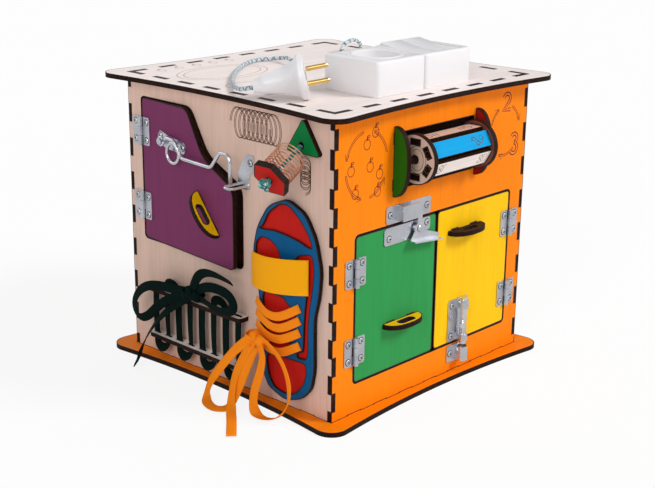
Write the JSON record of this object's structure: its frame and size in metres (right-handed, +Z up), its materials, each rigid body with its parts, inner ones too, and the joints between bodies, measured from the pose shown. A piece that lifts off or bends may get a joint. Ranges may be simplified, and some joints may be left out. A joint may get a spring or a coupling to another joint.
{
  "type": "wooden busy cube",
  "caption": "Plywood activity cube with small doors, latches, a spinning drum, lacing, a spring toy, a light switch, a socket and a plug, all for a child's hands.",
  "frame": {"origin": "centre of the base plate's underside", "axes": "+Z up; -Y out of the orange front face; -X out of the bare wooden left face"},
  "size_m": [0.3391, 0.2955, 0.2946],
  "materials": {
    "plywood": "bare birch plywood, burnt edges",
    "plywood_orange": "orange stain on plywood",
    "plywood_green": "green stain on plywood",
    "plywood_yellow": "yellow stain on plywood",
    "plywood_purple": "purple stain on plywood",
    "plywood_red": "red stain on plywood",
    "plywood_blue": "blue stain on plywood",
    "plywood_dark": "dark stain on plywood",
    "zinc": "zinc plated sheet steel",
    "screw_steel": "zinc plated",
    "white_plastic": "moulded, satin gloss",
    "brass": "bright",
    "copper_wire": "bright spring wire",
    "braided_cord": "white braid with teal and dark tracers",
    "teal_cord": "white braid with teal and dark tracers",
    "orange_lace": "flat woven lace",
    "green_lace": "flat woven lace",
    "strap": "woven hook-and-loop strap"
  },
  "bodies": {
    "root": {"base_plate": "plywood_orange", "top_plate": "plywood", "front_panel": "plywood_orange", "back_panel": "plywood", "left_panel": "plywood", "right_panel": "plywood", "fixed_hinge_leaves": "zinc", "hinge_pins": "zinc", "panel_screws": "screw_steel", "drum_bracket_left": "plywood_green", "drum_bracket_right": "plywood_red", "drum_axle": "plywood", "latch_keeper": "zinc", "bolt_keeper": "zinc", "hook_staple": "zinc", "wall_socket": "white_plastic", "switch_housing": "white_plastic", "plug": "white_plastic", "plug_pins": "brass", "plug_cord": "braided_cord", "toy_triangle": "plywood_green", "shoe_sole": "plywood_blue", "shoe_inlays": "plywood_red", "shoe_strap": "strap", "shoe_lace": "orange_lace", "shoe_bow": "orange_lace", "lacing_rails": "plywood", "lacing_cord": "green_lace", "lacing_bow": "green_lace"},
    "green_door": {"green_door": "plywood_green", "green_handle": "plywood_yellow", "green_hinge_leaves": "zinc", "green_door_screws": "screw_steel", "latch_plate": "zinc"},
    "latch_lever": {"latch_lever": "zinc"},
    "yellow_door": {"yellow_door": "plywood_yellow", "yellow_handle": "plywood_dark", "yellow_hinge_leaves": "zinc", "yellow_door_screws": "screw_steel", "bolt_plate": "zinc"},
    "bolt": {"bolt_rod": "zinc"},
    "purple_door": {"purple_door": "plywood_purple", "purple_handle": "plywood_yellow", "purple_hinge_leaves": "zinc", "purple_door_screws": "screw_steel", "hook_plate": "zinc"},
    "hook": {"hook_rod": "zinc"},
    "drum": {"drum_disc_left": "plywood", "drum_disc_right": "plywood", "drum_slat_1": "plywood", "drum_slat_2": "plywood_blue", "drum_slat_3": "plywood", "drum_slat_4": "plywood", "drum_slat_5": "plywood", "drum_slat_6": "plywood"},
    "rocker_left": {"switch_rocker_left": "white_plastic"},
    "rocker_right": {"switch_rocker_right": "white_plastic"},
    "toy_swing": {"toy_spring": "copper_wire", "toy_cord": "teal_cord"},
    "toy_hexagon": {"toy_hexagon": "plywood_red"}
  },
  "joints": [
    {"name": "green_door_hinge", "type": "hinge", "parent": "root", "child": "green_door", "pos_m": [-0.0995, -0.1275, 0.09], "axis": [0, 0, -1], "range_deg": [0, 110]},
    {"name": "yellow_door_hinge", "type": "hinge", "parent": "root", "child": "yellow_door", "pos_m": [0.105, -0.1275, 0.09], "axis": [0, 0, 1], "range_deg": [0, 110]},
    {"name": "purple_door_hinge", "type": "hinge", "parent": "root", "child": "purple_door", "pos_m": [-0.1275, 0.107, 0.17], "axis": [0, 0, -1], "range_deg": [-4.5, 105]},
    {"name": "latch_turn", "type": "hinge", "parent": "green_door", "child": "latch_lever", "pos_m": [-0.025, -0.1286, 0.148], "axis": [0, -1, 0], "range_deg": [-50, 25]},
    {"name": "bolt_slide", "type": "slide", "parent": "yellow_door", "child": "bolt", "axis": [0, 0, -1], "range_m": [-0.008, 0.009]},
    {"name": "hook_turn", "type": "hinge", "parent": "purple_door", "child": "hook", "pos_m": [-0.13278, 0.07181, 0.2057], "axis": [-0.9969, 0.0785, 0], "range_deg": [-5, 25]},
    {"name": "drum_spin", "type": "hinge", "parent": "root", "child": "drum", "pos_m": [0, -0.1315, 0.209], "axis": [1, 0, 0], "continuous": true},
    {"name": "rocker_left_tilt", "type": "hinge", "parent": "root", "child": "rocker_left", "pos_m": [0.02, -0.078, 0.282], "axis": [-1, 0, 0], "range_deg": [0, 10]},
    {"name": "rocker_right_tilt", "type": "hinge", "parent": "root", "child": "rocker_right", "pos_m": [0.045, -0.078, 0.282], "axis": [-1, 0, 0], "range_deg": [0, 10]},
    {"name": "toy_lift", "type": "hinge", "parent": "root", "child": "toy_swing", "pos_m": [-0.129, -0.0935, 0.229], "axis": [0, 1, 0], "range_deg": [0, 40]},
    {"name": "toy_push", "type": "slide", "parent": "toy_swing", "child": "toy_hexagon", "axis": [0.848, 0, 0.5299], "range_m": [0, 0.01], "stiffness_N_per_m": 120, "springref_m": -0.003, "deforming": ["toy_spring"]}
  ]
}
